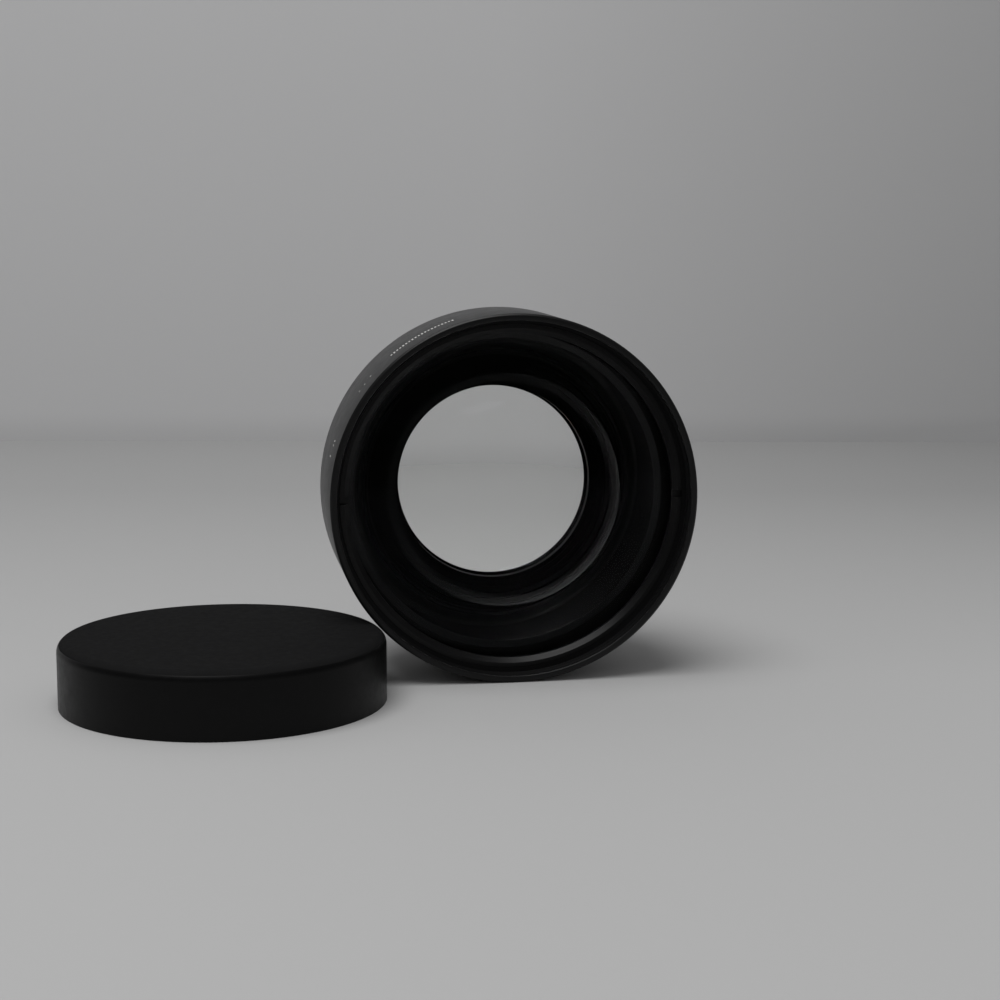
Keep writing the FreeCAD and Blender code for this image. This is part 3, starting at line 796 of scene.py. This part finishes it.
class CONVERTER_OT_stage(bpy.types.Operator):
    """Set the table, the wall, the lamp, the dim room and the camera"""

    bl_idname = "converter.stage"
    bl_label = "Stage"

    def execute(self, context):
        settings = context.scene.converter_stage
        facing = Matrix.Rotation(-settings.lens_turn, 3, "Z")
        rim_centre = Vector((0, RIM, 0))

        def in_room(across, away, up):
            """A place given from the rim's centre, square to the camera."""
            return rim_centre + facing @ Vector((across, away, up))

        width = 2.4
        wall_height = 1.2
        depth = settings.table_ahead + settings.wall_behind
        # the table's and the wall's colours carry painted shade, dimming to the right and away, and the
        # wall a painted shadow along its foot
        table_painted_shade = stage_with_painted_shade(
            "table", settings.table_colour, dim=0.7, across=(0, 0.25), away=(-0.04, 0.25), least=0.54)
        table = add_slab("table", width, depth, table_painted_shade)
        table.location = in_room(0, (settings.wall_behind - settings.table_ahead) / 2, TABLE)
        table.rotation_euler = (0, 0, -settings.lens_turn)
        wall_painted_shade = stage_with_painted_shade(
            "wall", settings.wall_colour, dim=0.75, across=(0, 0.25), away=(-2, -1),
            crease=-wall_height / 2)
        wall = add_slab("wall", width, wall_height, wall_painted_shade)
        wall.location = in_room(0, settings.wall_behind, TABLE + wall_height / 2)
        wall.rotation_euler = (math.radians(90), 0, -settings.lens_turn)

        lamp_aside, lamp_ahead, lamp_height, lamp_size = 0.25, 0.3, 1.2, 1.0
        over = in_room(-lamp_aside, -lamp_ahead, lamp_height)
        under = in_room(-lamp_aside, -lamp_ahead, 0)
        add_lamp("overhead", over, under, lamp_size, settings.lamp_power)
        context.scene.world = dim_room(settings)

        bpy.ops.object.camera_add()
        camera = context.object
        camera.name = "camera"
        camera.data.sensor_width = 36.0
        camera.data.lens = settings.focal_length
        camera.data.clip_start = 0.01
        camera.location = in_room(-settings.camera_aside, -settings.camera_ahead, settings.camera_above)
        look = Euler((math.radians(90) - settings.tilt, 0, -settings.lens_turn)).to_matrix()
        look = look @ Matrix.Rotation(settings.roll, 3, "Z")
        camera.rotation_euler = look.to_euler()
        context.scene.camera = camera
        context.scene.view_settings.view_transform = "Standard"
        return {"FINISHED"}


def dim_room(settings):
    """Soft light from all round, which glossy faces see as a dim room."""
    world = bpy.data.worlds.new("room")
    world.use_nodes = True
    tree = world.node_tree
    path = add_node(tree, "ShaderNodeLightPath")
    mirrored = add_node(tree, "ShaderNodeMath", operation="MAXIMUM")
    tree.links.new(path.outputs["Is Glossy Ray"], mirrored.inputs[0])
    tree.links.new(path.outputs["Is Transmission Ray"], mirrored.inputs[1])
    level = spread(tree, mirrored.outputs["Value"], settings.room_light, settings.room_mirrored, 0, 1)
    tree.links.new(level, tree.nodes["Background"].inputs["Strength"])
    tree.nodes["Background"].inputs["Color"].default_value = (1, 1, 1, 1)
    return world


def add_slab(name, width, depth, material):
    """A flat slab's upper face, for the table and the wall."""
    bpy.ops.object.select_all(action="DESELECT")
    bpy.ops.mesh.primitive_plane_add(size=1)
    slab = bpy.context.object
    slab.name = name
    slab.scale = (width, depth, 1)
    bpy.ops.object.transform_apply(location=False, rotation=False, scale=True)
    slab.data.materials.append(material)
    return slab


def add_lamp(name, place, target, size, power):
    """A round soft lamp that points at its target."""
    bpy.ops.object.light_add(type="AREA", location=place)
    lamp = bpy.context.object
    lamp.name = name
    lamp.data.shape = "DISK"
    lamp.data.size = size
    lamp.data.energy = power
    lamp.rotation_euler = (target - place).to_track_quat("-Z", "Y").to_euler()


class CONVERTER_PT_panel(bpy.types.Panel):
    """Lists the converter's pieces in the 3D view's sidebar"""

    bl_idname = "CONVERTER_PT_panel"
    bl_label = "Converter"
    bl_space_type = "VIEW_3D"
    bl_region_type = "UI"
    bl_category = "Converter"

    def draw(self, context):
        column = self.layout.column()
        for maker in MAKERS:
            column.operator(maker.bl_idname)
        for name in GROUPS:
            box = self.layout.box()
            settings = getattr(context.scene, name)
            for prop in settings.bl_rna.properties:
                if not prop.is_readonly and prop.identifier != "name":
                    box.prop(settings, prop.identifier)


GROUPS = {
    "converter_barrel": BarrelSettings,
    "converter_glass": GlassSettings,
    "converter_cap": CapSettings,
    "converter_stage": StageSettings,
}
MAKERS = (
    CONVERTER_OT_front_barrel,
    CONVERTER_OT_marks,
    CONVERTER_OT_inside,
    CONVERTER_OT_glass,
    CONVERTER_OT_rear,
    CONVERTER_OT_cap,
    CONVERTER_OT_stage,
)


def register():
    """Make the settings, the operators and the panel known to Blender."""
    for made in (*GROUPS.values(), *MAKERS, CONVERTER_PT_panel):
        bpy.utils.register_class(made)
    for name, group in GROUPS.items():
        setattr(bpy.types.Scene, name, PointerProperty(type=group))


def unregister():
    """Take the settings, the operators and the panel out again."""
    for name in GROUPS:
        delattr(bpy.types.Scene, name)
    for made in reversed((*GROUPS.values(), *MAKERS, CONVERTER_PT_panel)):
        bpy.utils.unregister_class(made)


def main():
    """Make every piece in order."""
    register()
    bpy.ops.converter.front_barrel()
    bpy.ops.converter.marks()
    bpy.ops.converter.inside()
    bpy.ops.converter.glass()
    bpy.ops.converter.rear()
    bpy.ops.converter.cap()
    bpy.ops.converter.stage()


if __name__ == "__main__":
    main()
